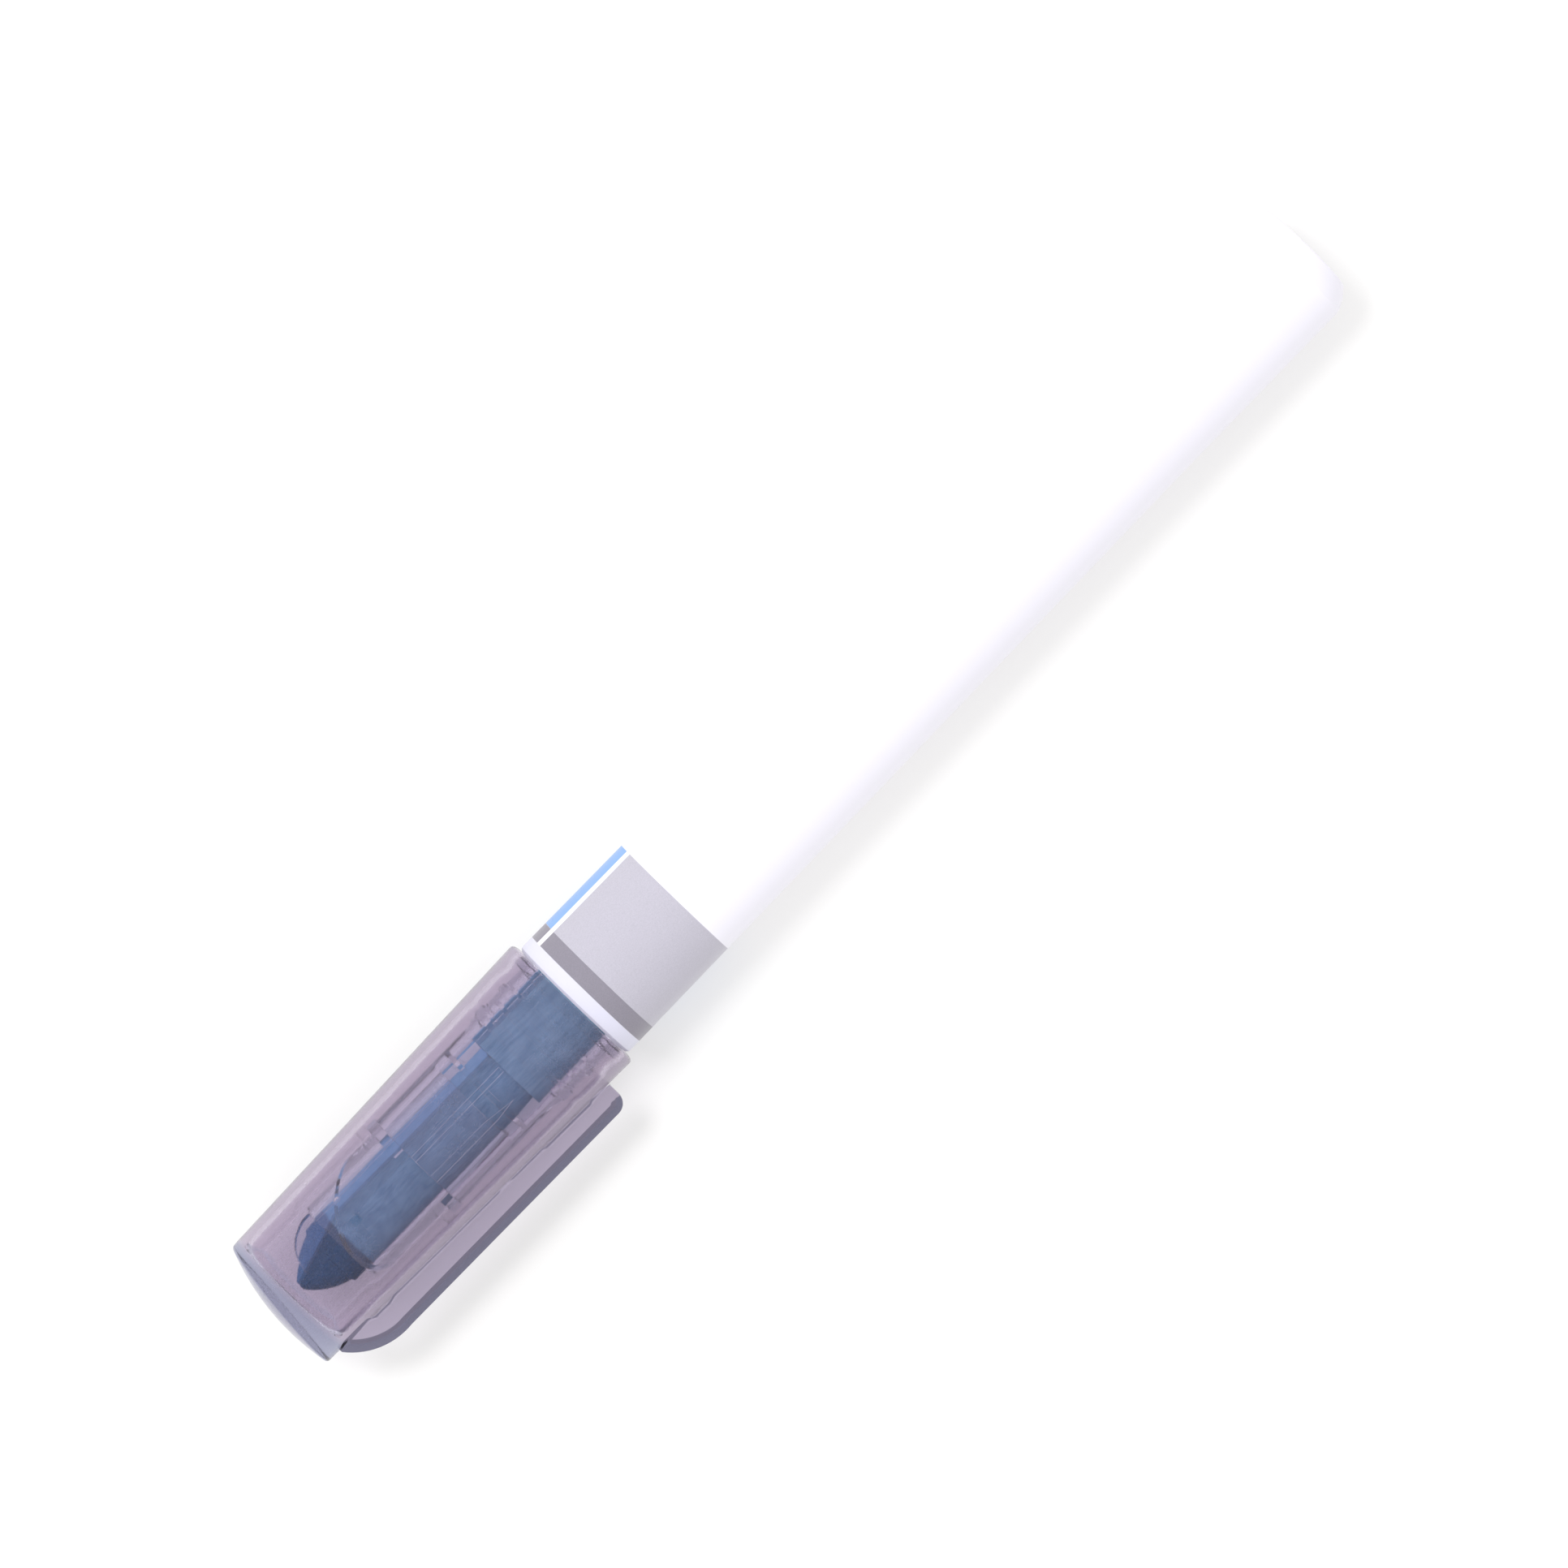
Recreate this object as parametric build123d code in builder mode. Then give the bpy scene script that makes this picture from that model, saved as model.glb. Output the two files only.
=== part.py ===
"""Two-colour marker pen with a clear push-on cap, lying on its side.

The axis of the pen is X. X = 0 is the flat tail face and +X points to the
writing end. The cap's clip stands out along +Y, and +Z is up.
All sizes are in millimetres.
"""

import os
from math import cos, radians, sin

from build123d import *

os.makedirs("parts", exist_ok=True)

# ---------------------------------------------------------------- driving sizes
PEN_LENGTH = 137.0  # tail face to the outermost point of the closed cap
TAIL_R = 6.45  # barrel at the tail, straight for the length of its land
LAND_X = 22.0  # end of that land, where the draft begins
MOUTH_R = 6.9  # barrel at its shoulder, under the cap's mouth
SHOULDER_X = 96.9  # end of the white barrel
CAP_MOUTH_X = 97.0
CAP_MOUTH_R = 7.7
CAP_END_R = 6.9
CAP_RIM_X = 134.6  # where the cap's side meets its domed end

FIT = 0.02  # gap between pieces that are pushed together
RUN = 0.06  # gap between pieces that slide or turn on each other

# barrel
TAIL_FACE_R = 4.87
TAIL_BEVEL = 2.2
FLOOR_X = 1.9
SOCKET_X = 84.0  # the mouth's straight socket starts here
SOCKET_R = 5.8
BORE_TAIL_R = 5.4

# nib, split into two half-round rods
SPLIT_DEG = 60.0  # turn of the split's normal from +Y towards +Z
NIB_R = 3.44
NIB_TIP_X = PEN_LENGTH - 3.67
NIB_SHOULDER_X = PEN_LENGTH - 7.45
NIB_REAR_X = 86.0
NIB_FLAT = 2.4  # flat along one side of both rods
CHISEL_RISE = 1.24  # writing flat: its rise ...
CHISEL_RUN = 3.68  # ... over this length
CHISEL_AT = (PEN_LENGTH - 3.75, 0.1)
DIVIDER_T = 0.6

# nose piece, which holds the nib
NOSE_X = PEN_LENGTH - 9.18
NOSE_R = 4.42
NOSE_SLEEVE_R = 4.87
COLLAR_R = 5.7
COLLAR_FRONT_X = PEN_LENGTH - 18.46
COLLAR_BACK_X = PEN_LENGTH - 19.55
SPIGOT_R = 4.3
SPIGOT_X = PEN_LENGTH - 27.0
NIB_BORE_R = NIB_R + RUN

# clear front section
SECTION_R = 5.4
GRIP_R = 5.62
RIDGE_R = 5.85
SEAT_R = 6.42
SECTION_BORE_R = 4.5
BAFFLE_T = 0.5
ROD_BAFFLE = 28.9  # distance of the ring that carries the nib rods from the cap's end
NECK_BAFFLES = (33.5, 35.4, 37.3, 43.0)  # distances of the rings round the fibre necks
SECTION_REAR_X = 91.0
BLADE_X = 82.0

# ink stores
STORE_R = 5.3
FILM_T = 0.22
STORE_X0 = 4.2
STORE_X1 = 90.8
NECK_X = PEN_LENGTH - 31.3  # the fibre cores run on as thinner necks up to here
NECK_R = 4.2
STORE_HALF_GAP = 0.36
CORE_FLAT = STORE_HALF_GAP + FILM_T + FIT

# caps
CAP_CAVITY_X = PEN_LENGTH - 2.6
CAP_CAVITY_END_R = 5.75
CAP_CAVITY_MOUTH_R = 6.5
CAP_DOME_R = 24.0
CAP_DOME_Y = 2.5
BEAD_R = 0.5
BEAD_X = PEN_LENGTH - 38.0
LINER_NARROW_R = 4.5
LINER_WIDE_R = NOSE_SLEEVE_R + RUN
LINER_WALL = 0.5
LINER_MOUTH_X = COLLAR_FRONT_X + 0.1

# clip
CLIP_WIDTH = 4.8
CLIP_BEVEL = 1.05
CLIP_FREE_X = PEN_LENGTH - 36.9
CLIP_ROOT_X = PEN_LENGTH - 2.05
CLIP_BRIDGE_X = PEN_LENGTH - 5.9  # the clip stands free of the cap behind this


def cap_radius(x):
    """Outer radius of the cap's drafted side at x."""
    share = (CAP_RIM_X - x) / (CAP_RIM_X - CAP_MOUTH_X)
    return CAP_END_R + share * (CAP_MOUTH_R - CAP_END_R)


def cavity_radius(x):
    """Inner radius of the cap's drafted cavity at x."""
    share = (CAP_CAVITY_X - x) / (CAP_CAVITY_X - CAP_MOUTH_X)
    return CAP_CAVITY_END_R + share * (CAP_CAVITY_MOUTH_R - CAP_CAVITY_END_R)


# The split's own directions: SPLIT_Q crosses the split, SPLIT_P lies in it.
SPLIT_Q = Vector(0, cos(radians(SPLIT_DEG)), sin(radians(SPLIT_DEG)))
SPLIT_P = Vector(0, -sin(radians(SPLIT_DEG)), cos(radians(SPLIT_DEG)))


def across(x):
    """Plane square to the pen at x: its own x crosses the split, its own y lies in it."""
    return Plane(origin=(x, 0, 0), x_dir=SPLIT_Q, z_dir=(1, 0, 0))


def along(distance, degrees, side=1):
    """Plane along the pen, distance out from the axis, turned from +Z towards +Y."""
    turn = radians(degrees) if side > 0 else radians(degrees + 180)
    normal = Vector(0, sin(turn), cos(turn))
    return Plane(origin=normal * distance, x_dir=(1, 0, 0), z_dir=normal)


def finish(piece, name):
    """Label one piece and write its file."""
    piece.part.label = name
    export_step(piece.part, f"parts/{name}.step")
    print(name, len(piece.part.solids()), round(piece.part.volume, 1))


# ---------------------------------------------------------------- barrel
with BuildPart() as barrel:
    with BuildSketch(Plane.XY):
        with BuildLine():
            Line((0, 0), (0, TAIL_FACE_R))
            ThreePointArc((0, TAIL_FACE_R), (0.1, 5.13), (0.32, 5.33))
            ThreePointArc((0.32, 5.33), (1.1, 5.95), (TAIL_BEVEL, TAIL_R))
            Line((TAIL_BEVEL, TAIL_R), (LAND_X, TAIL_R))
            Line((LAND_X, TAIL_R), (SHOULDER_X - 0.25, MOUTH_R))
            Line((SHOULDER_X - 0.25, MOUTH_R), (SHOULDER_X, MOUTH_R - 0.25))
            Line((SHOULDER_X, MOUTH_R - 0.25), (SHOULDER_X, SOCKET_R))
            Line((SHOULDER_X, SOCKET_R), (SOCKET_X, SOCKET_R))
            Line((SOCKET_X, SOCKET_R), (SOCKET_X - 0.3, SOCKET_R - 0.1))
            Line((SOCKET_X - 0.3, SOCKET_R - 0.1), (FLOOR_X, BORE_TAIL_R))
            Line((FLOOR_X, BORE_TAIL_R), (FLOOR_X, 0))
            Line((FLOOR_X, 0), (0, 0))
        make_face()
    revolve(axis=Axis.X)
    # crossed ribs on the floor that the two ink stores rest on
    with BuildSketch(Plane.YZ.offset(FLOOR_X)):
        Rectangle(2 * BORE_TAIL_R + 0.6, 0.8)
        Rectangle(0.8, 2 * BORE_TAIL_R + 0.6)
    extrude(amount=STORE_X0 - FIT - FLOOR_X)
finish(barrel, "barrel")

# ---------------------------------------------------------------- front section
with BuildPart() as front_section:
    with BuildSketch(Plane.XY):
        with BuildLine():
            Polyline(
                (COLLAR_BACK_X, 0),
                (COLLAR_BACK_X, SECTION_R),
                (PEN_LENGTH - 31.9, SECTION_R),
                (PEN_LENGTH - 32.3, GRIP_R),
                (PEN_LENGTH - 32.9, GRIP_R),
                (PEN_LENGTH - 33.1, RIDGE_R),
                (PEN_LENGTH - 33.9, RIDGE_R),
                (PEN_LENGTH - 34.1, GRIP_R),
                (PEN_LENGTH - 36.0, GRIP_R),
                (PEN_LENGTH - 36.2, RIDGE_R),
                (PEN_LENGTH - 36.7, RIDGE_R),
                (PEN_LENGTH - 36.9, GRIP_R),
                (PEN_LENGTH - 38.75, GRIP_R),
                (PEN_LENGTH - 38.9, SEAT_R),
                (SHOULDER_X, SEAT_R),
                (SHOULDER_X, SOCKET_R - FIT),
                (SECTION_REAR_X, SOCKET_R - FIT),
                (SECTION_REAR_X, 0),
                close=True,
            )
        make_face()
    revolve(axis=Axis.X)
    # socket for the nose piece
    with BuildSketch(Plane.YZ.offset(COLLAR_BACK_X)):
        Circle(SPIGOT_R + FIT)
    extrude(amount=SPIGOT_X - COLLAR_BACK_X - FIT, mode=Mode.SUBTRACT)
    # two half-round chambers, with a web left between them
    with BuildSketch(across(SECTION_REAR_X)):
        Circle(SECTION_BORE_R)
        Rectangle(DIVIDER_T, 3 * SECTION_BORE_R, mode=Mode.SUBTRACT)
    extrude(amount=SPIGOT_X - SECTION_REAR_X + FIT, mode=Mode.SUBTRACT)
    # one ring carries the nib rods; the rings behind it centre the fibre necks
    with BuildSketch(across(PEN_LENGTH - ROD_BAFFLE)):
        Circle(SECTION_BORE_R + 0.2)
        Circle(NIB_BORE_R, mode=Mode.SUBTRACT)
    extrude(amount=BAFFLE_T)
    for distance in NECK_BAFFLES:
        with BuildSketch(across(PEN_LENGTH - distance)):
            Circle(SECTION_BORE_R + 0.2)
            Circle(NECK_R + FIT, mode=Mode.SUBTRACT)
        extrude(amount=BAFFLE_T)
    # the web runs on as a blade that keeps the two ink stores apart
    with BuildSketch(across(BLADE_X)):
        Rectangle(DIVIDER_T, 2 * NIB_R)
    extrude(amount=SECTION_REAR_X - BLADE_X)
    for side in (1, -1):
        # straight air groove, open at the collar
        with BuildSketch(along(SECTION_R - 0.55, 0, side)):
            with Locations((PEN_LENGTH - 25.3, -0.44)):
                Rectangle(11.6, 0.6)
        extrude(amount=2, mode=Mode.SUBTRACT)
        # second groove, which narrows to a point
        with BuildSketch(along(SECTION_R - 0.9, 0, side)):
            with BuildLine():
                Polyline(
                    (COLLAR_BACK_X + 0.1, 1.73),
                    (COLLAR_BACK_X + 0.1, 2.5),
                    (PEN_LENGTH - 27.5, 2.55),
                    (PEN_LENGTH - 29.8, 2.3),
                    (PEN_LENGTH - 26.5, 1.85),
                    close=True,
                )
            make_face()
        extrude(amount=2, mode=Mode.SUBTRACT)
        # scalloped flat that runs out in a curve
        scallop = Plane(
            origin=(0, 0, 0),
            x_dir=(1, 0, 0),
            z_dir=Vector(0, -side * cos(radians(60)), side * sin(radians(60))),
        )
        with BuildSketch(scallop):
            with BuildLine():
                Line((COLLAR_BACK_X + 0.1, -5.0), (PEN_LENGTH - 25.8, -5.0))
                ThreePointArc(
                    (PEN_LENGTH - 25.8, -5.0),
                    (PEN_LENGTH - 29.0, -5.1),
                    (PEN_LENGTH - 31.6, -5.5),
                )
                Line((PEN_LENGTH - 31.6, -5.5), (PEN_LENGTH - 31.6, -7))
                Line((PEN_LENGTH - 31.6, -7), (COLLAR_BACK_X + 0.1, -7))
                Line((COLLAR_BACK_X + 0.1, -7), (COLLAR_BACK_X + 0.1, -5.0))
            make_face()
        extrude(amount=3, both=True, mode=Mode.SUBTRACT)
finish(front_section, "front_section")

# ---------------------------------------------------------------- nose piece
step_normal = Vector(1, -0.955 * sin(radians(26)), -0.955 * cos(radians(26)))
with BuildPart() as nose_sleeve:
    with BuildSketch(Plane.YZ.offset(COLLAR_BACK_X)):
        Circle(NOSE_SLEEVE_R)
    extrude(amount=NOSE_X - COLLAR_BACK_X)
    split(
        bisect_by=Plane(origin=(PEN_LENGTH - 13.75, 0, 0), z_dir=step_normal),
        keep=Keep.BOTTOM,
    )

with BuildPart() as nose_piece:
    with BuildSketch(Plane.XY):
        with BuildLine():
            Polyline(
                (SPIGOT_X, 0),
                (SPIGOT_X, SPIGOT_R),
                (COLLAR_BACK_X + FIT, SPIGOT_R),
                (COLLAR_BACK_X + FIT, COLLAR_R),
                (COLLAR_FRONT_X, COLLAR_R),
                (COLLAR_FRONT_X, NOSE_R),
                (NOSE_X - 0.2, NOSE_R),
                (NOSE_X, NOSE_R - 0.15),
                (NOSE_X, 0),
                close=True,
            )
        make_face()
    revolve(axis=Axis.X)
    add(nose_sleeve.part)
    with BuildSketch(Plane.YZ.offset(SPIGOT_X)):
        Circle(NIB_BORE_R)
    extrude(amount=NOSE_X - SPIGOT_X, mode=Mode.SUBTRACT)
    for side in (1, -1):
        # square and round air windows behind the nose's face
        with BuildSketch(along(NIB_BORE_R - 0.5, 0, side)):
            with Locations((PEN_LENGTH - 11.9, -0.35)):
                Rectangle(1.0, 0.85)
            with Locations((PEN_LENGTH - 11.9, -2.75)):
                Circle(0.4)
        extrude(amount=3, mode=Mode.SUBTRACT)
        # air notches through the collar's edge
        for turn in (-46, -15, 57):
            with BuildSketch(along(COLLAR_R - 0.8, turn, side)):
                with Locations(((COLLAR_FRONT_X + COLLAR_BACK_X) / 2, 0)):
                    Rectangle(2, 0.9)
            extrude(amount=2, mode=Mode.SUBTRACT)
finish(nose_piece, "nose_piece")

# ---------------------------------------------------------------- nib divider
with BuildPart() as nib_divider:
    with BuildSketch(Plane(origin=(0, 0, 0), x_dir=(1, 0, 0), z_dir=-SPLIT_Q)):
        with BuildLine():
            front = PEN_LENGTH - 4.95
            Line((front, -0.3), (front, 0.35))
            Spline(
                (front, 0.35),
                (PEN_LENGTH - 5.25, 1.73),
                (PEN_LENGTH - 6.2, 3.27),
                (PEN_LENGTH - 8.0, 4.3),
                (NOSE_X + FIT, 4.4),
            )
            Polyline(
                (NOSE_X + FIT, 4.4),
                (NOSE_X + FIT, NIB_R),
                (SPIGOT_X + FIT, NIB_R),
                (SPIGOT_X + FIT, -NIB_R),
                (NOSE_X, -NIB_R),
            )
            Spline(
                (NOSE_X, -NIB_R),
                (PEN_LENGTH - 8.0, -2.9),
                (PEN_LENGTH - 6.4, -2.0),
                (front, -0.3),
            )
        make_face()
    extrude(amount=DIVIDER_T / 2, both=True)
finish(nib_divider, "nib_divider")


# ---------------------------------------------------------------- nib halves
def nib_half(side):
    """Half-round rod with an ogive tip, one lengthwise flat and a slanted writing flat."""
    with BuildPart() as rod:
        with BuildSketch(Plane.XY):
            with BuildLine():
                Line((NIB_REAR_X, 0), (NIB_REAR_X, NIB_R))
                Line((NIB_REAR_X, NIB_R), (NIB_SHOULDER_X - 0.15, NIB_R))
                Line((NIB_SHOULDER_X - 0.15, NIB_R), (NIB_SHOULDER_X, 3.12))
                ThreePointArc(
                    (NIB_SHOULDER_X, 3.12),
                    (PEN_LENGTH - 5.34, 2.19),
                    (NIB_TIP_X - 0.1, 0.75),
                )
                ThreePointArc(
                    (NIB_TIP_X - 0.1, 0.75),
                    (NIB_TIP_X - 0.02, 0.62),
                    (NIB_TIP_X, 0.45),
                )
                Line((NIB_TIP_X, 0.45), (NIB_TIP_X, 0))
                Line((NIB_TIP_X, 0), (NIB_REAR_X, 0))
            make_face()
        revolve(axis=Axis.X)
        face_gap = DIVIDER_T / 2 + FIT
        split(
            bisect_by=Plane(origin=SPLIT_Q * side * face_gap, z_dir=SPLIT_Q * side),
            keep=Keep.TOP,
        )
        # the rear is thinned to slip inside its store's core
        with BuildSketch(across(NIB_REAR_X)):
            Rectangle(2 * (CORE_FLAT + FIT), 3 * NIB_R)
        extrude(amount=NECK_X + 0.1 - NIB_REAR_X, mode=Mode.SUBTRACT)
        split(bisect_by=Plane(origin=SPLIT_P * NIB_FLAT, z_dir=SPLIT_P), keep=Keep.BOTTOM)
        split(
            bisect_by=Plane(
                origin=Vector(CHISEL_AT[0], 0, 0) + SPLIT_P * CHISEL_AT[1],
                z_dir=Vector(CHISEL_RISE, 0, 0) + SPLIT_P * CHISEL_RUN,
            ),
            keep=Keep.BOTTOM,
        )
    return rod


gray_nib = nib_half(1)
finish(gray_nib, "gray_nib")
blue_nib = nib_half(-1)
finish(blue_nib, "blue_nib")


# ---------------------------------------------------------------- ink stores
def half_round(side, radius, flat):
    """D-shaped outline on one side of the split, whose flat is this far from the axis."""
    Circle(radius)
    with Locations((side * flat, 0)):
        Rectangle(
            radius * 2,
            radius * 3,
            align=(Align.MIN if side > 0 else Align.MAX, Align.CENTER),
            mode=Mode.INTERSECT,
        )


def film_sleeve(side):
    """Thin film tube round one fibre core, open at both ends."""
    with BuildPart() as sleeve:
        with BuildSketch(across(STORE_X0)):
            half_round(side, STORE_R, STORE_HALF_GAP)
            offset(amount=-FILM_T, mode=Mode.SUBTRACT)
        extrude(amount=STORE_X1 - STORE_X0)
    return sleeve


def fibre_core(side):
    """Ink-soaked fibre core with a pocket that its nib rod is pushed into."""
    with BuildPart() as core:
        with BuildSketch(across(STORE_X0)):
            half_round(side, STORE_R - FILM_T - FIT, CORE_FLAT)
        extrude(amount=STORE_X1 - STORE_X0)
        with BuildSketch(across(STORE_X1 - 1)):
            half_round(side, NECK_R, CORE_FLAT)
        extrude(amount=NECK_X - STORE_X1 + 1)
        with BuildSketch(across(NIB_REAR_X - FIT)):
            half_round(side, NIB_R + FIT, 0)
            with Locations((0, NIB_FLAT + FIT)):
                Rectangle(
                    3 * NIB_R,
                    2 * NIB_R,
                    align=(Align.CENTER, Align.MIN),
                    mode=Mode.SUBTRACT,
                )
        extrude(amount=NECK_X - NIB_REAR_X + 1, mode=Mode.SUBTRACT)
    return core


for color, side in (("gray", 1), ("blue", -1)):
    finish(film_sleeve(side), f"{color}_reservoir_sleeve")
    finish(fibre_core(side), f"{color}_reservoir")

# ---------------------------------------------------------------- inner cap
LINER_END_X = CAP_CAVITY_X - 0.1
LINER_INSIDE_X = LINER_END_X - 0.5
LINER_STEP_X = PEN_LENGTH - 7.9
with BuildPart() as inner_cap:
    with BuildSketch(Plane.XY):
        with BuildLine():
            Polyline(
                (LINER_END_X, 0),
                (LINER_END_X, CAP_CAVITY_END_R - 0.1),
                (LINER_INSIDE_X, CAP_CAVITY_END_R - 0.1),
                (LINER_INSIDE_X - 0.3, LINER_NARROW_R + LINER_WALL),
                (LINER_STEP_X, LINER_NARROW_R + LINER_WALL),
                (LINER_STEP_X - 1, LINER_WIDE_R + LINER_WALL),
                (LINER_MOUTH_X + 1.2, LINER_WIDE_R + LINER_WALL),
                (LINER_MOUTH_X + 1.0, cavity_radius(LINER_MOUTH_X) - 0.1),
                (LINER_MOUTH_X, cavity_radius(LINER_MOUTH_X) - 0.1),
                (LINER_MOUTH_X, LINER_WIDE_R + 0.2),
                (LINER_MOUTH_X + 0.3, LINER_WIDE_R),
                (LINER_STEP_X - 1.2, LINER_WIDE_R),
                (LINER_STEP_X - 0.3, LINER_NARROW_R),
                (LINER_INSIDE_X - 0.6, LINER_NARROW_R),
                (LINER_INSIDE_X, LINER_NARROW_R - 0.6),
                (LINER_INSIDE_X, 0),
                close=True,
            )
        make_face()
    revolve(axis=Axis.X)
finish(inner_cap, "inner_cap")

# ---------------------------------------------------------------- outer cap
RIDGE_X = PEN_LENGTH - 33.5
with BuildPart() as outer_cap:
    with BuildSketch(Plane.XY):
        with BuildLine():
            Line((CAP_MOUTH_X, 0), (CAP_MOUTH_X, CAP_MOUTH_R - 0.72))
            ThreePointArc(
                (CAP_MOUTH_X, CAP_MOUTH_R - 0.72),
                (CAP_MOUTH_X + 0.14, CAP_MOUTH_R - 0.26),
                (CAP_MOUTH_X + 0.5, CAP_MOUTH_R - 0.01),
            )
            Line((CAP_MOUTH_X + 0.5, CAP_MOUTH_R - 0.01), (PEN_LENGTH, cap_radius(PEN_LENGTH)))
            Line((PEN_LENGTH, cap_radius(PEN_LENGTH)), (PEN_LENGTH, 0))
            Line((PEN_LENGTH, 0), (CAP_MOUTH_X, 0))
        make_face()
    revolve(axis=Axis.X)
    # shallow dome, whose top lies towards the clip
    with Locations((PEN_LENGTH - CAP_DOME_R, CAP_DOME_Y, 0)):
        Sphere(CAP_DOME_R, mode=Mode.INTERSECT)
    rim = outer_cap.edges().filter_by(lambda e: e.center().X > CAP_RIM_X - 1)
    fillet(rim.sort_by(Edge.length)[-1], radius=1.1)
    # drafted cavity with a holding bead at its mouth and one ridge further in
    with BuildSketch(Plane.XY):
        with BuildLine():
            Polyline(
                (CAP_MOUTH_X - 0.5, 0),
                (CAP_MOUTH_X - 0.5, CAP_CAVITY_MOUTH_R + 0.6),
                (CAP_MOUTH_X, CAP_CAVITY_MOUTH_R + 0.3),
                (CAP_MOUTH_X + 0.5, cavity_radius(CAP_MOUTH_X + 0.5)),
                (RIDGE_X - 0.6, cavity_radius(RIDGE_X - 0.6)),
                (RIDGE_X - 0.3, cavity_radius(RIDGE_X) - 0.1),
                (RIDGE_X + 0.3, cavity_radius(RIDGE_X) - 0.1),
                (RIDGE_X + 0.6, cavity_radius(RIDGE_X + 0.6)),
                (CAP_CAVITY_X, CAP_CAVITY_END_R),
                (CAP_CAVITY_X, 0),
                close=True,
            )
        make_face()
    revolve(axis=Axis.X, mode=Mode.SUBTRACT)
    with BuildSketch(Plane.XY):
        with Locations((BEAD_X, cavity_radius(BEAD_X) + 0.2)):
            Circle(BEAD_R)
    revolve(axis=Axis.X)
finish(outer_cap, "outer_cap")

# ---------------------------------------------------------------- pocket clip
with BuildPart() as pocket_clip:
    with BuildSketch(Plane.XY):
        with BuildLine():
            Line((CLIP_ROOT_X, 6.0), (CLIP_ROOT_X, 7.15))
            ThreePointArc((CLIP_ROOT_X, 7.15), (PEN_LENGTH - 4.2, 9.05), (PEN_LENGTH - 8.4, 9.98))
            Line((PEN_LENGTH - 8.4, 9.98), (CLIP_FREE_X + 1.3, 10.18))
            ThreePointArc(
                (CLIP_FREE_X + 1.3, 10.18),
                (CLIP_FREE_X + 0.38, 9.8),
                (CLIP_FREE_X, 8.88),
            )
            Line((CLIP_FREE_X, 8.88), (CLIP_FREE_X, 6.0))
            Line((CLIP_FREE_X, 6.0), (CLIP_ROOT_X, 6.0))
        make_face()
    extrude(amount=CLIP_WIDTH / 2, both=True)
    outer_edges = pocket_clip.edges().filter_by(
        lambda e: abs(abs(e.center().Z) - CLIP_WIDTH / 2) < 0.01 and e.center().Y > 8
    )
    chamfer(outer_edges, length=CLIP_BEVEL)
    # the inner side follows the cap: close at the root, free behind it
    with BuildSketch(Plane.XY):
        with BuildLine():
            Polyline(
                (CLIP_FREE_X - 1, 0),
                (CLIP_FREE_X - 1, cap_radius(CLIP_FREE_X - 1) + 0.2),
                (PEN_LENGTH - 34.7, cap_radius(PEN_LENGTH - 34.7) + 0.2),
                (PEN_LENGTH - 34.4, cap_radius(PEN_LENGTH - 34.4) + 0.34),
                (PEN_LENGTH - 28.7, cap_radius(PEN_LENGTH - 28.7) + 0.34),
                (PEN_LENGTH - 28.4, cap_radius(PEN_LENGTH - 28.4) + 0.2),
                (PEN_LENGTH - 9.2, cap_radius(PEN_LENGTH - 9.2) + 0.2),
                (PEN_LENGTH - 8.4, cap_radius(PEN_LENGTH - 8.4) + 0.38),
                (PEN_LENGTH - 6.6, cap_radius(PEN_LENGTH - 6.6) + 0.38),
                (CLIP_BRIDGE_X, cap_radius(CLIP_BRIDGE_X) + RUN),
                (CLIP_ROOT_X + 1, cap_radius(CLIP_ROOT_X + 1) + RUN),
                (CLIP_ROOT_X + 1, 0),
                close=True,
            )
        make_face()
    revolve(axis=Axis.X, mode=Mode.SUBTRACT)
finish(pocket_clip, "pocket_clip")
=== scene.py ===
# %% [markdown]
# # A two-colour marker pen with a see-through cap
#
# The pen lies on its side. Its axis is X, with the tail at 0 and the writing end at +X. The clip points
# along +Y and the camera looks straight down. Every size below is in metres, worked out from the
# fixed model that this script loads first, or named where it is used.
#
# The lesson has four parts: shared helpers, finishes, pieces modelled by hand, and the studio.

# %% Load the fixed model
from math import atan2, cos, pi, radians, sin, sqrt

import bpy
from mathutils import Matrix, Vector


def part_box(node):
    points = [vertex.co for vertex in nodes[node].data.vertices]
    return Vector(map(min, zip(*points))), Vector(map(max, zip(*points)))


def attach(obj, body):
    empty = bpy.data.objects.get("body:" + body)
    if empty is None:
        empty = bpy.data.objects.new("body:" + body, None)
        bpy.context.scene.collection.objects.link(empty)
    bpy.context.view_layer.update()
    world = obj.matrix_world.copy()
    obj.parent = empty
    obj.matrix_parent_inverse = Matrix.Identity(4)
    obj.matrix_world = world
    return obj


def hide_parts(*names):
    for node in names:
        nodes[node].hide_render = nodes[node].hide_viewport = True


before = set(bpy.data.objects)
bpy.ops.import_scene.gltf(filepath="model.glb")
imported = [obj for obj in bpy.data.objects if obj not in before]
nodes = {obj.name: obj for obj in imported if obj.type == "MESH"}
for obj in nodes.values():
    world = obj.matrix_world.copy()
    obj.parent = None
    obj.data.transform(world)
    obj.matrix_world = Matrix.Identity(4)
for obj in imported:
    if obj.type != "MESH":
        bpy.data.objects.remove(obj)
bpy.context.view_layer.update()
MM = 0.001


# %% [markdown]
# ## Helpers for node trees
#
# A finish is a small tree of shader nodes. Making a node, setting its inputs and linking it takes three
# or four lines each time, so two short helpers do it in one. An input is set by its name; a value that is
# a socket is linked, and anything else is stored as the input's own number.

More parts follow.
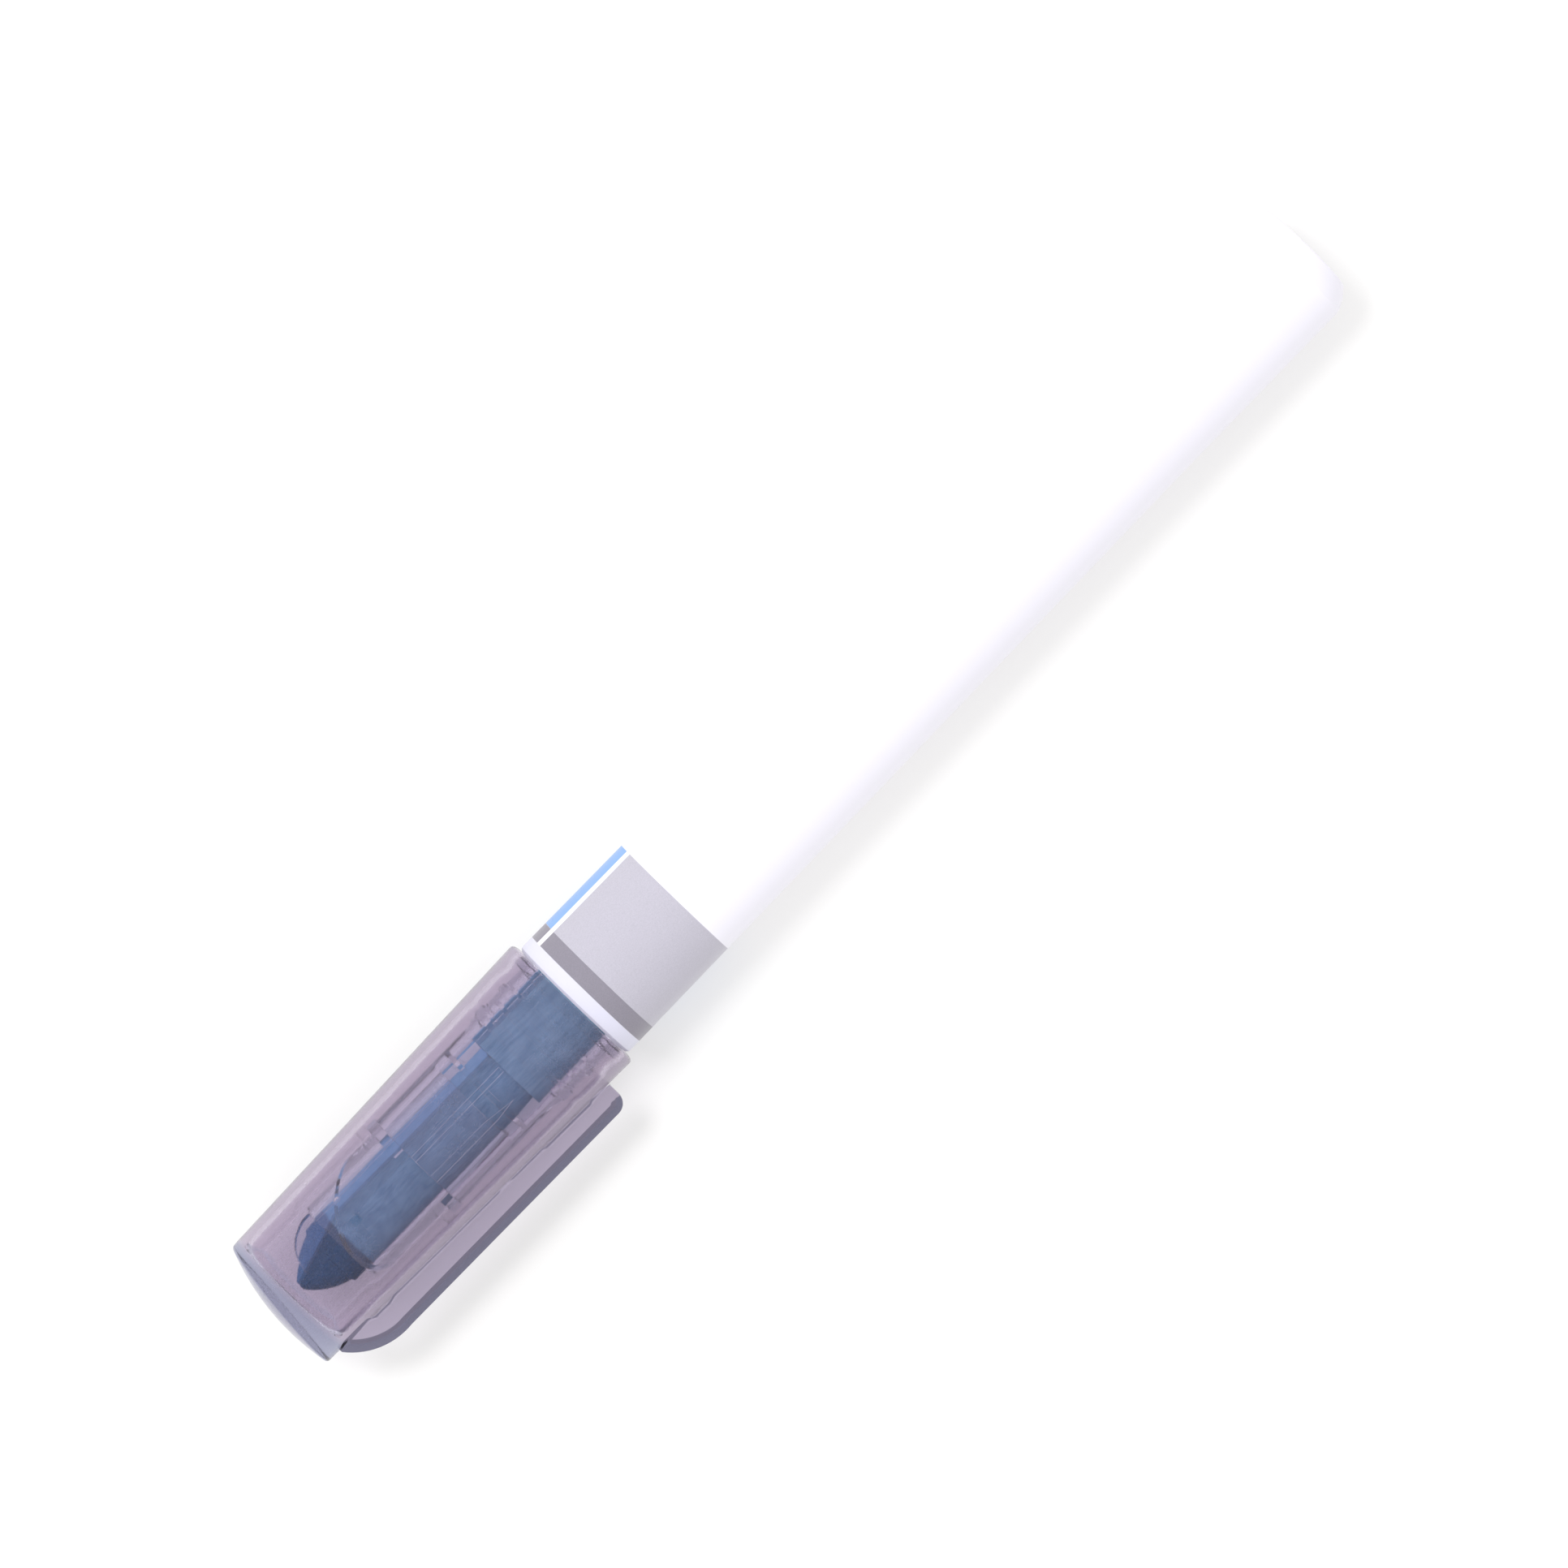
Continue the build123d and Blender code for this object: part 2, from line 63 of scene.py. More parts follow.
# %% Node helpers
def put(tree, kind, settings=None, **inputs):
    """Add a node, set its own settings, then fill its inputs by name or by place (_0, _1)."""
    node = tree.nodes.new(kind)
    for name, value in (settings or {}).items():
        setattr(node, name, value)
    for name, value in inputs.items():
        is_place = name.startswith("_")
        socket = node.inputs[int(name[1:])] if is_place else node.inputs[name.replace("_", " ")]
        if isinstance(value, bpy.types.NodeSocket):
            tree.links.new(value, socket)
        else:
            socket.default_value = value
    return node


def maths(tree, operation, a, b=0.0):
    """One Math node's result."""
    return put(tree, "ShaderNodeMath", {"operation": operation}, _0=a, _1=b).outputs[0]


def mixed(tree, factor, a, b):
    """Mix two colours by a factor."""
    mix = put(tree, "ShaderNodeMix", {"data_type": "RGBA"}, _0=factor)
    for place, value in ((6, a), (7, b)):
        if isinstance(value, bpy.types.NodeSocket):
            tree.links.new(value, mix.inputs[place])
        else:
            mix.inputs[place].default_value = value
    return mix.outputs[2]


def ramp(tree, value, low, high, to_low=0.0, to_high=1.0):
    """Stretch a value from one range to another, held at both ends."""
    return put(
        tree, "ShaderNodeMapRange", {"clamp": True}, _0=value, _1=low, _2=high, _3=to_low, _4=to_high
    ).outputs[0]


def noise(tree, place, scale, detail=2.0, roughness=0.5):
    """Fractal noise from 0 to 1 at a place."""
    return put(
        tree, "ShaderNodeTexNoise", Vector=place, Scale=scale, Detail=detail, Roughness=roughness
    ).outputs[0]


def stretched(tree, place, x=1.0, y=1.0, z=1.0):
    """Coordinates scaled by a different amount along each axis."""
    return put(tree, "ShaderNodeMapping", {"vector_type": "POINT"}, Vector=place, Scale=(x, y, z)).outputs[0]


print("node helpers ready")


# %% [markdown]
# ## Effects that several finishes share
#
# Fine mould grain, hairline scratches and the fibres of a nib turn up on more than one material. Each is
# a node group with named inputs and outputs, built once and placed in every material with its own
# values. A group gives only masks and heights. The shader that uses them stays in the material.

# %% Node groups
def new_group(name, inputs, outputs):
    """Start a shader node group with float inputs {name: default} and named outputs."""
    tree = bpy.data.node_groups.new(name, "ShaderNodeTree")
    tree.interface.new_socket(name="Place", in_out="INPUT", socket_type="NodeSocketVector")
    for label, default in inputs.items():
        socket = tree.interface.new_socket(name=label, in_out="INPUT", socket_type="NodeSocketFloat")
        socket.default_value = default
    for label in outputs:
        tree.interface.new_socket(name=label, in_out="OUTPUT", socket_type="NodeSocketFloat")
    return tree, tree.nodes.new("NodeGroupInput").outputs, tree.nodes.new("NodeGroupOutput").inputs


def build_mould_grain():
    """Satin grain of moulded plastic: fine pits over broad, faint flow marks."""
    sizes = {"Grain Size": 0.0002, "Flow Size": 0.012}
    tree, given, result = new_group("mould_grain", sizes, ("Pits", "Flow"))
    fine = noise(tree, given["Place"], maths(tree, "DIVIDE", 1.0, given["Grain Size"]), 2.0, 0.6)
    flow_place = stretched(tree, given["Place"], 0.3, 1.0, 1.0)
    flow = noise(tree, flow_place, maths(tree, "DIVIDE", 1.0, given["Flow Size"]), 3.0, 0.5)
    tree.links.new(fine, result["Pits"])
    tree.links.new(flow, result["Flow"])
    return tree


def build_hairlines():
    """Sparse handling scratches, much longer than they are wide, in two directions."""
    tree, given, result = new_group("hairlines", {"Size": 0.0006, "Amount": 0.3}, ("Scratches",))
    scale = maths(tree, "DIVIDE", 1.0, given["Size"])
    lines = []
    for squash in ((0.06, 1.0, 1.0), (0.5, 0.12, 1.0)):
        grain = noise(tree, stretched(tree, given["Place"], *squash), scale, 3.0, 0.65)
        thin = maths(tree, "ABSOLUTE", maths(tree, "SUBTRACT", grain, 0.5))
        lines.append(ramp(tree, thin, 0.004, 0.0))
    where = ramp(tree, noise(tree, given["Place"], 90.0, 2.0), 0.5, 0.62)
    both = maths(tree, "MAXIMUM", *lines)
    tree.links.new(
        maths(tree, "MULTIPLY", maths(tree, "MULTIPLY", both, where), given["Amount"]), result["Scratches"]
    )
    return tree


def build_fibres():
    """Parallel fibres of a pressed nib or a wound core, with darker clumps."""
    sizes = {"Fibre Size": 0.00016, "Clump Size": 0.0012}
    tree, given, result = new_group("fibres", sizes, ("Strands", "Clumps"))
    along = stretched(tree, given["Place"], 0.12, 1.0, 1.0)
    strands = noise(tree, along, maths(tree, "DIVIDE", 1.0, given["Fibre Size"]), 2.0, 0.7)
    clumps = noise(tree, given["Place"], maths(tree, "DIVIDE", 1.0, given["Clump Size"]), 3.0, 0.55)
    tree.links.new(strands, result["Strands"])
    tree.links.new(clumps, result["Clumps"])
    return tree


mould_grain = build_mould_grain()
hairlines = build_hairlines()
fibres = build_fibres()
print("groups:", [g.name for g in bpy.data.node_groups])


# %% [markdown]
# A finish starts the same way each time: an empty tree, the piece's own Object coordinates, and an
# output. `use_group` places one of the groups above with its own values.

# %% Start a finish
def new_finish(name):
    """An empty material, its tree, its Object coordinates and its output node."""
    material = bpy.data.materials.new(name)
    material.use_nodes = True
    tree = material.node_tree
    tree.nodes.clear()
    place = put(tree, "ShaderNodeTexCoord").outputs["Object"]
    return material, tree, place, put(tree, "ShaderNodeOutputMaterial")


def use_group(tree, group, place, **values):
    """Place a node group and return its outputs."""
    node = put(tree, "ShaderNodeGroup", {"node_tree": group}, Place=place, **values)
    return node.outputs


def bump(tree, height, distance, strength=1.0):
    """A normal from a height."""
    return put(tree, "ShaderNodeBump", Height=height, Distance=distance, Strength=strength).outputs[0]


def wear(material, *pieces):
    """Give pieces this finish in their only slot."""
    for piece in pieces:
        piece.data.materials.clear()
        piece.data.materials.append(material)


print("finish helpers ready")


# %% [markdown]
# ## White barrel with its printed bands
#
# The barrel is white polypropylene with a satin surface. Two inks are printed round its mouth: each half
# has a light band and a dark ring, one half in pearl grey and the other in blue, so that the writer sees
# which way up the nib is. A clean white ring is left between the print and the cap.
#
# The print could be cut from the mesh, but ink has no thickness to speak of, so masks do it: the distance
# along X gives the bands, and the angle round the axis, measured from the nib's split, gives the halves.

# %% White barrel
SPLIT_TURN = radians(60)  # turn of the split's normal from +Y towards +Z
SHOULDER_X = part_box("barrel")[1].x
RING_FROM, RING_TO = SHOULDER_X - 3.4 * MM, SHOULDER_X - 1.6 * MM
BAND_FROM = SHOULDER_X - 13.4 * MM
GAP_SINE = 0.056  # half the unprinted gap, as a share of the radius


def between(tree, value, low, high, soft):
    """1 where a value lies between two limits, with a soft edge."""
    rise = ramp(tree, value, low - soft, low + soft)
    fall = ramp(tree, value, high - soft, high + soft, 1.0, 0.0)
    return maths(tree, "MULTIPLY", rise, fall)


def white_barrel():
    material, tree, place, output = new_finish("white_barrel")
    x, y, z = put(tree, "ShaderNodeSeparateXYZ", _0=place).outputs[:3]
    grain = use_group(tree, mould_grain, place, Grain_Size=0.00012, Flow_Size=0.02)
    scratches = use_group(tree, hairlines, place, Size=0.0009, Amount=0.35)["Scratches"]

    squares = maths(tree, "ADD", maths(tree, "MULTIPLY", y, y), maths(tree, "MULTIPLY", z, z))
    across = maths(
        tree,
        "ADD",
        maths(tree, "MULTIPLY", y, cos(SPLIT_TURN)),
        maths(tree, "MULTIPLY", z, sin(SPLIT_TURN)),
    )
    side = maths(tree, "DIVIDE", across, maths(tree, "SQRT", squares))
    gray_half = ramp(tree, side, GAP_SINE - 0.004, GAP_SINE + 0.004)
    blue_half = ramp(tree, side, -GAP_SINE - 0.004, -GAP_SINE + 0.004, 1.0, 0.0)
    printed = maths(tree, "MAXIMUM", gray_half, blue_half)
    edge = 0.03 * MM
    ring = between(tree, x, RING_FROM, RING_TO, edge)
    band = between(tree, x, BAND_FROM, RING_FROM, edge)

    speckle = ramp(tree, grain["Pits"], 0.3, 0.7, 0.93, 1.06)
    pearl = put(tree, "ShaderNodeVectorMath", {"operation": "SCALE"}, _0=(0.45, 0.435, 0.5), Scale=speckle)
    dark = put(tree, "ShaderNodeVectorMath", {"operation": "SCALE"}, _0=(0.235, 0.22, 0.265), Scale=speckle)
    white = mixed(tree, grain["Flow"], (0.79, 0.775, 0.85, 1), (0.82, 0.805, 0.875, 1))
    white = mixed(tree, ramp(tree, x, RING_TO, RING_TO + edge), white, (0.64, 0.635, 0.75, 1))
    ink = mixed(tree, gray_half, (0.2, 0.37, 0.7, 1), pearl.outputs[0])
    shown = mixed(tree, maths(tree, "MULTIPLY", band, printed), white, ink)
    shown = mixed(tree, maths(tree, "MULTIPLY", ring, printed), shown, dark.outputs[0])

    inked = maths(tree, "MULTIPLY", maths(tree, "MAXIMUM", ring, band), printed)
    rough = maths(tree, "ADD", ramp(tree, grain["Pits"], 0.2, 0.8, 0.3, 0.38), scratches)
    height = maths(tree, "ADD", grain["Pits"], maths(tree, "MULTIPLY", inked, 2.0))
    shader = put(
        tree,
        "ShaderNodeBsdfPrincipled",
        Base_Color=shown,
        Roughness=rough,
        Normal=bump(tree, height, 0.004 * MM, 0.5),
        IOR=1.49,
        Subsurface_Weight=0.15,
        Subsurface_Scale=0.0015,
        Subsurface_Radius=(1.0, 0.9, 1.0),
    )
    tree.links.new(shader.outputs[0], output.inputs["Surface"])
    return material


wear(white_barrel(), nodes["barrel"])
print("print runs from", round(BAND_FROM / MM, 1), "to", round(RING_TO / MM, 1), "mm")


# %% [markdown]
# ## See-through smoky plastic
#
# The cap and its clip are tinted clear plastic. Most of the colour sits in the skin, so that the thin wall
# has its pale violet. The rest is a Volume Absorption shader inside, because real plastic deepens with
# the thickness that light passes. The thick closed end looks grayer, so the skin changes its tint there.
# A thin coat gives the gloss, and the slightly rough skin under it blurs what lies behind, as haze does.
#
# Lamps can't reach through bent light paths quickly, so for shadow rays alone the surface turns into a
# plain transparent one. Light then falls on the parts inside the cap and the shadow keeps a faint tint.

# %% See-through surface
def see_through(tree, glass, shadow_tint):
    """The glass as it is, but plain transparent with this tint for shadow rays."""
    through = put(tree, "ShaderNodeBsdfTransparent", Color=shadow_tint)
    is_shadow = put(tree, "ShaderNodeLightPath").outputs["Is Shadow Ray"]
    return put(
        tree, "ShaderNodeMixShader", _0=is_shadow, _1=glass.outputs[0], _2=through.outputs[0]
    ).outputs[0]


# %% Smoky plastic
THICK_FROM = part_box("outer_cap")[1].x - 2.5 * MM  # the cap is solid from here to its end
SMOKE = (0.5, 0.42, 0.6, 1)  # what the plastic's depth leaves of white light
SMOKE_DENSITY = 45.0  # per metre


def smoky_plastic(name, tint, end_tint, roughness, bend):
    """tint: colour of the skin. end_tint: the same at the thick end. bend: index of refraction."""
    material, tree, place, output = new_finish(name)
    grain = use_group(tree, mould_grain, place, Grain_Size=0.0004, Flow_Size=0.006)
    scratches = use_group(tree, hairlines, place, Size=0.0007, Amount=0.25)["Scratches"]
    rough = maths(tree, "ADD", ramp(tree, grain["Flow"], 0.3, 0.7, roughness, roughness + 0.03), scratches)
    x = put(tree, "ShaderNodeSeparateXYZ", _0=place).outputs[0]
    thick = ramp(tree, x, THICK_FROM - 0.3 * MM, THICK_FROM + 0.2 * MM)
    glass = put(
        tree,
        "ShaderNodeBsdfPrincipled",
        Base_Color=mixed(tree, thick, tint, end_tint),
        Roughness=rough,
        IOR=bend,
        Transmission_Weight=0.98,
        Coat_Weight=0.35,
        Coat_IOR=1.3,
        Coat_Roughness=0.03,
        Normal=bump(tree, grain["Flow"], 0.01 * MM, 0.3),
    )
    inside = put(tree, "ShaderNodeVolumeAbsorption", Color=SMOKE, Density=SMOKE_DENSITY)
    tree.links.new(see_through(tree, glass, (0.87, 0.86, 0.875, 1)), output.inputs["Surface"])
    tree.links.new(inside.outputs[0], output.inputs["Volume"])
    return material


smoky_cap = smoky_plastic("smoky_cap", (0.71, 0.65, 0.745, 1), (0.5, 0.53, 0.65, 1), 0.18, 1.08)
smoky_clip = smoky_plastic("smoky_clip", (0.56, 0.51, 0.62, 1), (0.5, 0.49, 0.59, 1), 0.03, 1.12)
# Painted shade: a darker smoky tint for the clip's sloping sides, which look darker than its top because
# light crosses them at a slant.
painted_shade_slope = smoky_plastic("painted_shade_slope", (0.25, 0.25, 0.34, 1), (0.25, 0.25, 0.34, 1), 0.03, 1.12)
wear(smoky_cap, nodes["outer_cap"])
wear(smoky_clip, nodes["pocket_clip"])
print("cap and clip are smoky")


# %% [markdown]
# ## Clear mouldings inside the cap
#
# The front section, the nose, the divider and the liner are thin clear walls. Seen square on they all but
# vanish; seen edge on they bend the light and turn into soft gray lines. Bending it as strongly as real
# plastic does would hide the fibres behind four or five walls, so `bend` is weaker than the real 1.49. A
# little haze stands for the light that a moulding scatters.

# %% Clear plastic
def clear_plastic(name, haze, tint, bend):
    """haze: share of light that the plastic scatters. tint: its colour. bend: index of refraction."""
    material, tree, place, output = new_finish(name)
    grain = use_group(tree, mould_grain, place, Grain_Size=0.0003, Flow_Size=0.004)
    glass = put(
        tree,
        "ShaderNodeBsdfPrincipled",
        Base_Color=tint,
        Roughness=ramp(tree, grain["Flow"], 0.3, 0.7, 0.02, 0.06),
        IOR=bend,
        Transmission_Weight=1.0 - haze,
        Normal=bump(tree, grain["Flow"], 0.01 * MM, 0.4),
    )
    tree.links.new(see_through(tree, glass, (0.96, 0.96, 0.975, 1)), output.inputs["Surface"])
    return material


section_clear = clear_plastic("clear_section", 0.04, (0.93, 0.97, 1.0, 1), 1.14)
divider_clear = clear_plastic("clear_divider", 0.02, (0.9, 0.94, 1.0, 1), 1.22)
liner_clear = clear_plastic("clear_liner", 0.01, (0.99, 1.0, 1.0, 1), 1.03)
# Frosted finish for the bevels of the clear pieces; its haze also paints a highlight along each edge.
frost_and_highlight_edge = clear_plastic("frost_and_highlight_edge", 0.3, (0.8, 0.8, 0.88, 1), 1.14)
# Painted highlight: an opaque white finish for the rims of the air grooves, standing for the glints they
# catch.
groove_painted_highlight = clear_plastic("groove_painted_highlight", 1.0, (1.0, 1.0, 1.0, 1), 1.18)
wear(section_clear, nodes["front_section"], nodes["nose_piece"])
wear(divider_clear, nodes["nib_divider"])
wear(liner_clear, nodes["inner_cap"])
print("clear mouldings done")


# %% [markdown]
# ## Ink-soaked fibre
#
# Each nib half is a stick of pressed fibres, wet with ink. Long thin noise along the pen gives the strands,
# and broader noise the clumps that take up ink unevenly. Outside its holder the ink dries to one dark
# tone. The same finish with wider strands serves the two cores inside the barrel.

# %% Fibre
NIB_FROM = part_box("gray_nib")[1].x - 6.4 * MM  # in front of this the nib stands out of its holder


def inked_fibre(name, deep, pale, nib, rough_low, rough_high, strand=0.00015):
    """deep, pale: the ink's two tones. nib: tone where it dries outside. strand: width of a bundle."""
    material, tree, place, output = new_finish(name)
    found = use_group(tree, fibres, place, Fibre_Size=strand, Clump_Size=strand * 7)
    blend = maths(
        tree,
        "ADD",
        maths(tree, "MULTIPLY", ramp(tree, found["Strands"], 0.3, 0.7), 0.6),
        maths(tree, "MULTIPLY", ramp(tree, found["Clumps"], 0.35, 0.65), 0.4),
    )
    x = put(tree, "ShaderNodeSeparateXYZ", _0=place).outputs[0]
    tip = ramp(tree, x, NIB_FROM - 0.1 * MM, NIB_FROM + 0.1 * MM)
    shader = put(
        tree,
        "ShaderNodeBsdfPrincipled",
        Base_Color=mixed(tree, tip, mixed(tree, blend, deep, pale), nib),
        Roughness=ramp(tree, found["Strands"], 0.3, 0.7, rough_high, rough_low),
        Normal=bump(tree, found["Strands"], 0.01 * MM, 0.3),
        IOR=1.4,
        Specular_IOR_Level=0.15,
    )
    tree.links.new(shader.outputs[0], output.inputs["Surface"])
    return material


GRAY_DRY, BLUE_DRY = (0.002, 0.065, 0.16, 1), (0.06, 0.18, 0.36, 1)
GRAY_ROD = (0.05, 0.19, 0.34, 1), (0.22, 0.43, 0.58, 1)
GRAY_CORE = (0.08, 0.24, 0.38, 1), (0.3, 0.52, 0.65, 1)
BLUE_BOTH = (0.13, 0.38, 0.6, 1), (0.32, 0.6, 0.84, 1)
CORE_STRAND = 0.4 * MM
gray_nib_fibre = inked_fibre("gray_nib_fibre", *GRAY_ROD, GRAY_DRY, 0.7, 0.85)
blue_nib_fibre = inked_fibre("blue_nib_fibre", *BLUE_BOTH, BLUE_DRY, 0.7, 0.85)
gray_ink_fibre = inked_fibre("gray_ink_fibre", *GRAY_CORE, GRAY_DRY, 0.8, 0.95, CORE_STRAND)
blue_ink_fibre = inked_fibre("blue_ink_fibre", *BLUE_BOTH, BLUE_DRY, 0.8, 0.95, CORE_STRAND)
wear(gray_nib_fibre, nodes["gray_nib"])
wear(blue_nib_fibre, nodes["blue_nib"])
wear(gray_ink_fibre, nodes["gray_reservoir"])
wear(blue_ink_fibre, nodes["blue_reservoir"])
film = clear_plastic("film", 0.03, (0.93, 0.94, 0.98, 1), 1.1)
wear(film, nodes["gray_reservoir_sleeve"], nodes["blue_reservoir_sleeve"])
print("fibre and film done")


# %% [markdown]
# ## Modelling by hand: how a piece starts and ends
#
# An operator works on whatever is selected, so each piece starts with nothing selected. It ends with its
# normals pointing out, its modifiers applied, and its place in its mesh, with the object at the origin.
# Then three calls say what it is: which body it rides on, which fixed piece it stands in for, and which
# finish it has.

# %% Start and end a piece
def deselect():
    """Nothing selected, so that an operator acts only on what is chosen next."""
    if bpy.context.object and bpy.context.object.mode != "OBJECT":
        bpy.ops.object.mode_set(mode="OBJECT")
    bpy.ops.object.select_all(action="DESELECT")


def choose(piece):
    """Make one piece the only one selected, and active."""
    deselect()
    piece.select_set(True)
    bpy.context.view_layer.objects.active = piece


def edit(piece, *steps):
    """Run edit-mode operators on the whole of a piece, one after another."""
    choose(piece)
    bpy.ops.object.mode_set(mode="EDIT")
    bpy.ops.mesh.select_mode(type="VERT")
    for step in steps:
        bpy.ops.mesh.select_all(action="SELECT")
        step()
    bpy.ops.object.mode_set(mode="OBJECT")


def modify(piece, kind, **settings):
    """Add one modifier and apply it."""
    choose(piece)
    modifier = piece.modifiers.new(kind.lower(), kind)
    for name, value in settings.items():
        setattr(modifier, name, value)
    bpy.ops.object.modifier_apply(modifier=modifier.name)


def hand_over(piece, body, node):
    """Shade a finished piece and let it stand in for its fixed node."""
    choose(piece)
    bpy.ops.object.transform_apply(location=True, rotation=True, scale=True)
    bpy.ops.object.shade_smooth_by_angle(angle=radians(32))
    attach(piece, body)
    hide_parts(node)
    print(piece.name, len(piece.data.polygons), "faces")


# %% [markdown]
# ## The smoky cap, turned ring by ring
#
# The cap is one drafted cup: a wall of about 1 mm, a rounded lip, a faint ridge and a holding bead inside,
# and a thick closed end whose top is a shallow dome that leans towards the clip. A lathe in Blender is a
# circle that is extruded along the axis and scaled to the next radius, again and again. The rings run from
# the middle of the cavity's floor along the inside, over the lip and back along the outside.
#
# See-through plastic shows each ring of a wall as a line, so the beads are gentle waves of many rings
# and not hard steps.

# %% Turn a shape from rings
def turned(name, rings, sides=96):
    """A closed shape from (x, radius) rings in order, with a pole at each end."""
    deselect()
    (x, radius), *rest = rings
    bpy.ops.mesh.primitive_circle_add(
        vertices=sides, radius=radius, location=(x, 0, 0), rotation=(0, pi / 2, 0), fill_type="TRIFAN"
    )
    piece = bpy.context.object
    piece.name = name
    bpy.ops.object.transform_apply(location=True, rotation=True, scale=True)
    bpy.ops.object.mode_set(mode="EDIT")
    bpy.ops.mesh.select_all(action="DESELECT")
    bpy.ops.mesh.select_mode(type="EDGE")
    bpy.ops.mesh.select_non_manifold(extend=False)
    for next_x, next_radius in rest:
        share = next_radius / radius
        bpy.ops.mesh.extrude_region_move(TRANSFORM_OT_translate={"value": (next_x - x, 0, 0)})
        bpy.ops.transform.resize(value=(1, share, share), center_override=(next_x, 0, 0))
        x, radius = next_x, next_radius
    bpy.ops.mesh.edge_face_add()
    bpy.ops.mesh.poke()
    bpy.ops.mesh.select_all(action="SELECT")
    bpy.ops.mesh.normals_make_consistent(inside=False)
    bpy.ops.object.mode_set(mode="OBJECT")
    return piece


print("lathe ready")


# %% The cap's own sizes
CAP_LOW, CAP_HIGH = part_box("outer_cap")
LIP_X, LIP_R = CAP_LOW.x, CAP_HIGH.z
END_X = CAP_HIGH.x
LIP_TO_RIM = 37.6 * MM  # length of the drafted side
RIM_R = 6.9 * MM
FLOOR_X = END_X - 2.6 * MM
FLOOR_R, CAVITY_R = 5.75 * MM, 6.5 * MM
FLOOR_ROUND, LIP_ROUND = 1.1 * MM, 0.4 * MM
DOME_R, DOME_LEAN = 24 * MM, 2.5 * MM
RIDGE_AT, RIDGE_HEIGHT, RIDGE_REACH = END_X - 33.5 * MM, 0.1 * MM, 0.8 * MM
BEAD_AT, BEAD_HEIGHT, BEAD_REACH = END_X - 38.0 * MM, 0.22 * MM, 1.1 * MM
WAVES = ((RIDGE_AT, RIDGE_HEIGHT, RIDGE_REACH), (BEAD_AT, BEAD_HEIGHT, BEAD_REACH))


def wall_out(x):
    """Outer radius of the drafted wall."""
    return LIP_R + (x - LIP_X) / LIP_TO_RIM * (RIM_R - LIP_R)


def wall_in(x):
    """Inner radius of the drafted wall, with its ridge and bead as soft waves."""
    radius = CAVITY_R + (x - LIP_X) / (FLOOR_X - LIP_X) * (FLOOR_R - CAVITY_R)
    for at, height, reach in WAVES:
        if abs(x - at) < reach:
            radius -= height * (1 + cos(pi * (x - at) / reach)) / 2
    return radius


def steps(start, stop, count):
    """Evenly spaced values from start to stop, both included."""
    return [start + (stop - start) * i / count for i in range(count + 1)]


def turn_of(start, stop, count):
    """(cosine, sine) pairs along an arc."""
    return [(cos(t), sin(t)) for t in steps(start, stop, count)]


cavity = [(FLOOR_X, 1 * MM), (FLOOR_X, 3 * MM), (FLOOR_X, 4.6 * MM)]
cavity += [
    (FLOOR_X - (1 - across) * FLOOR_ROUND, FLOOR_R - (1 - along) * FLOOR_ROUND)
    for along, across in turn_of(pi / 2, 0, 6)
]
inside = steps(FLOOR_X - 3 * MM, RIDGE_AT + 1 * MM, 8)[:-1]
inside += steps(RIDGE_AT + RIDGE_REACH, RIDGE_AT - RIDGE_REACH, 12)
inside += steps(BEAD_AT + BEAD_REACH, BEAD_AT - BEAD_REACH, 14)
cavity += [(x, wall_in(x)) for x in inside]
lip_x = LIP_X + LIP_ROUND
lip_in, lip_out = wall_in(lip_x), LIP_R - 0.01 * MM
lip_mid, lip_half = (lip_in + lip_out) / 2, (lip_out - lip_in) / 2
lip = [
    (lip_x - along * LIP_ROUND, lip_mid + across * lip_half)
    for along, across in turn_of(-pi / 2, pi / 2, 10)
]
outside = [(x, wall_out(x)) for x in steps(LIP_X + 1.5 * MM, END_X - 2.5 * MM, 12)]
print("cap rings:", len(cavity) + len(lip) + len(outside))


# %% Turn the cap and push its end up into the dome
rim_r = wall_out(END_X)
end = [(END_X, rim_r * share) for share in (1, 0.97, 0.92, 0.85, 0.7, 0.5, 0.3, 0.1)]
cap = turned("smoky_cap_shell", cavity + lip + outside + end)
for vertex in cap.data.vertices:
    x, y, z = vertex.co
    if x > END_X - 0.01 * MM:
        vertex.co.x = END_X - DOME_R + sqrt(DOME_R**2 - (y - DOME_LEAN) ** 2 - z**2)
modify(cap, "BEVEL", width=1.0 * MM, segments=6, limit_method="ANGLE", angle_limit=radians(55))
wear(smoky_cap, cap)
hand_over(cap, "cap", "outer_cap")


# %% [markdown]
# ## Softened mouldings and nibs
#
# The fixed model's edges are sharp, because a machine needs only the size. A real moulding has a small
# radius on every edge, and in see-through plastic that radius is what the eye finds: it bends light
# away and draws each edge as a fine line. So a copy of each piece is merged, its flat faces are
# joined, and a Bevel modifier rounds every hard edge. The bevels of the clear pieces get a frosted
# finish of their own, because they are never as polished as the faces, and its haze also paints a
# highlight along each edge, so that the edge lines read brighter.

# %% Soften a copy of a fixed node
def softened(node, name, width, segments, *finishes):
    """A copy of a fixed node with its hard edges rounded. A second finish goes to the rounded edges."""
    choose(nodes[node])
    bpy.ops.object.duplicate()
    piece = bpy.context.object
    piece.name = name
    bpy.ops.mesh.customdata_custom_splitnormals_clear()
    wear(finishes[0], piece)
    for finish in finishes[1:]:
        piece.data.materials.append(finish)
    edit(
        piece,
        lambda: bpy.ops.mesh.remove_doubles(threshold=0.002 * MM),
        lambda: bpy.ops.mesh.dissolve_limited(angle_limit=radians(1)),
        lambda: bpy.ops.mesh.normals_make_consistent(inside=False),
    )
    modify(
        piece,
        "BEVEL",
        width=width,
        segments=segments,
        limit_method="ANGLE",
        angle_limit=radians(35),
        material=len(finishes) - 1,
        use_clamp_overlap=True,
    )
    return piece


print("softening ready")
